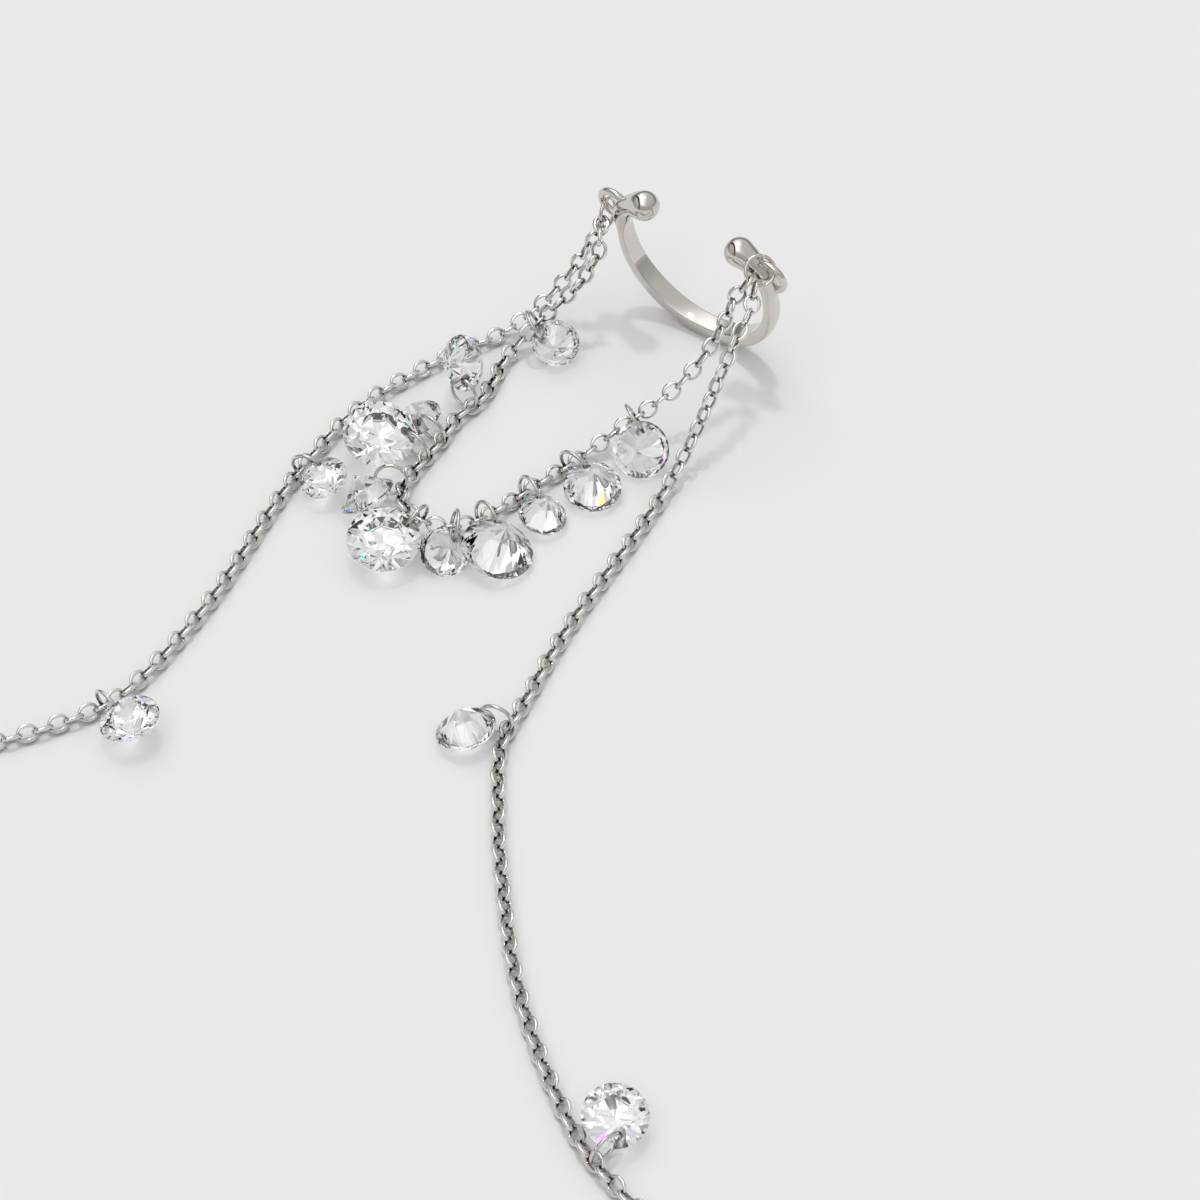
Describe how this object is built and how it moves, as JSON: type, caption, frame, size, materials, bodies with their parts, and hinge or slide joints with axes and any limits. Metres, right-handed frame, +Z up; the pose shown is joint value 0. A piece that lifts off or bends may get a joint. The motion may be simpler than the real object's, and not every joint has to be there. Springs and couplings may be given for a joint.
{
  "type": "ear cuff with chains",
  "caption": "Clip-on ear cuff with ball ends, hung with fine cable chains that carry drilled round cut stones, laid out on a surface.",
  "frame": {"origin": "middle of the bounding box, on the surface that the piece lies on", "axes": "+Z up; the cuff stands near +Y and opens upward, its ring across X; the chains lie toward -Y"},
  "size_m": [0.0584, 0.0654, 0.0121],
  "materials": {
    "metal": "polished white metal",
    "stone": "polished facets"
  },
  "bodies": {
    "root": {"ear_cuff": "metal", "left_jump_ring": "metal", "right_jump_ring": "metal", "left_chain": "metal", "swag_chain": "metal", "right_chain": "metal", "stone_01": "stone", "stone_02": "stone", "stone_03": "stone", "stone_04": "stone", "stone_05": "stone", "stone_06": "stone", "stone_07": "stone", "stone_08": "stone", "stone_09": "stone", "stone_10": "stone", "stone_11": "stone", "stone_12": "stone", "stone_13": "stone", "stone_14": "stone", "stone_15": "stone", "stone_ring_01": "metal", "stone_ring_02": "metal", "stone_ring_03": "metal", "stone_ring_04": "metal", "stone_ring_05": "metal", "stone_ring_06": "metal", "stone_ring_07": "metal", "stone_ring_08": "metal", "stone_ring_09": "metal", "stone_ring_10": "metal", "stone_ring_11": "metal", "stone_ring_12": "metal", "stone_ring_13": "metal", "stone_ring_14": "metal", "stone_ring_15": "metal"}
  },
  "joints": []
}
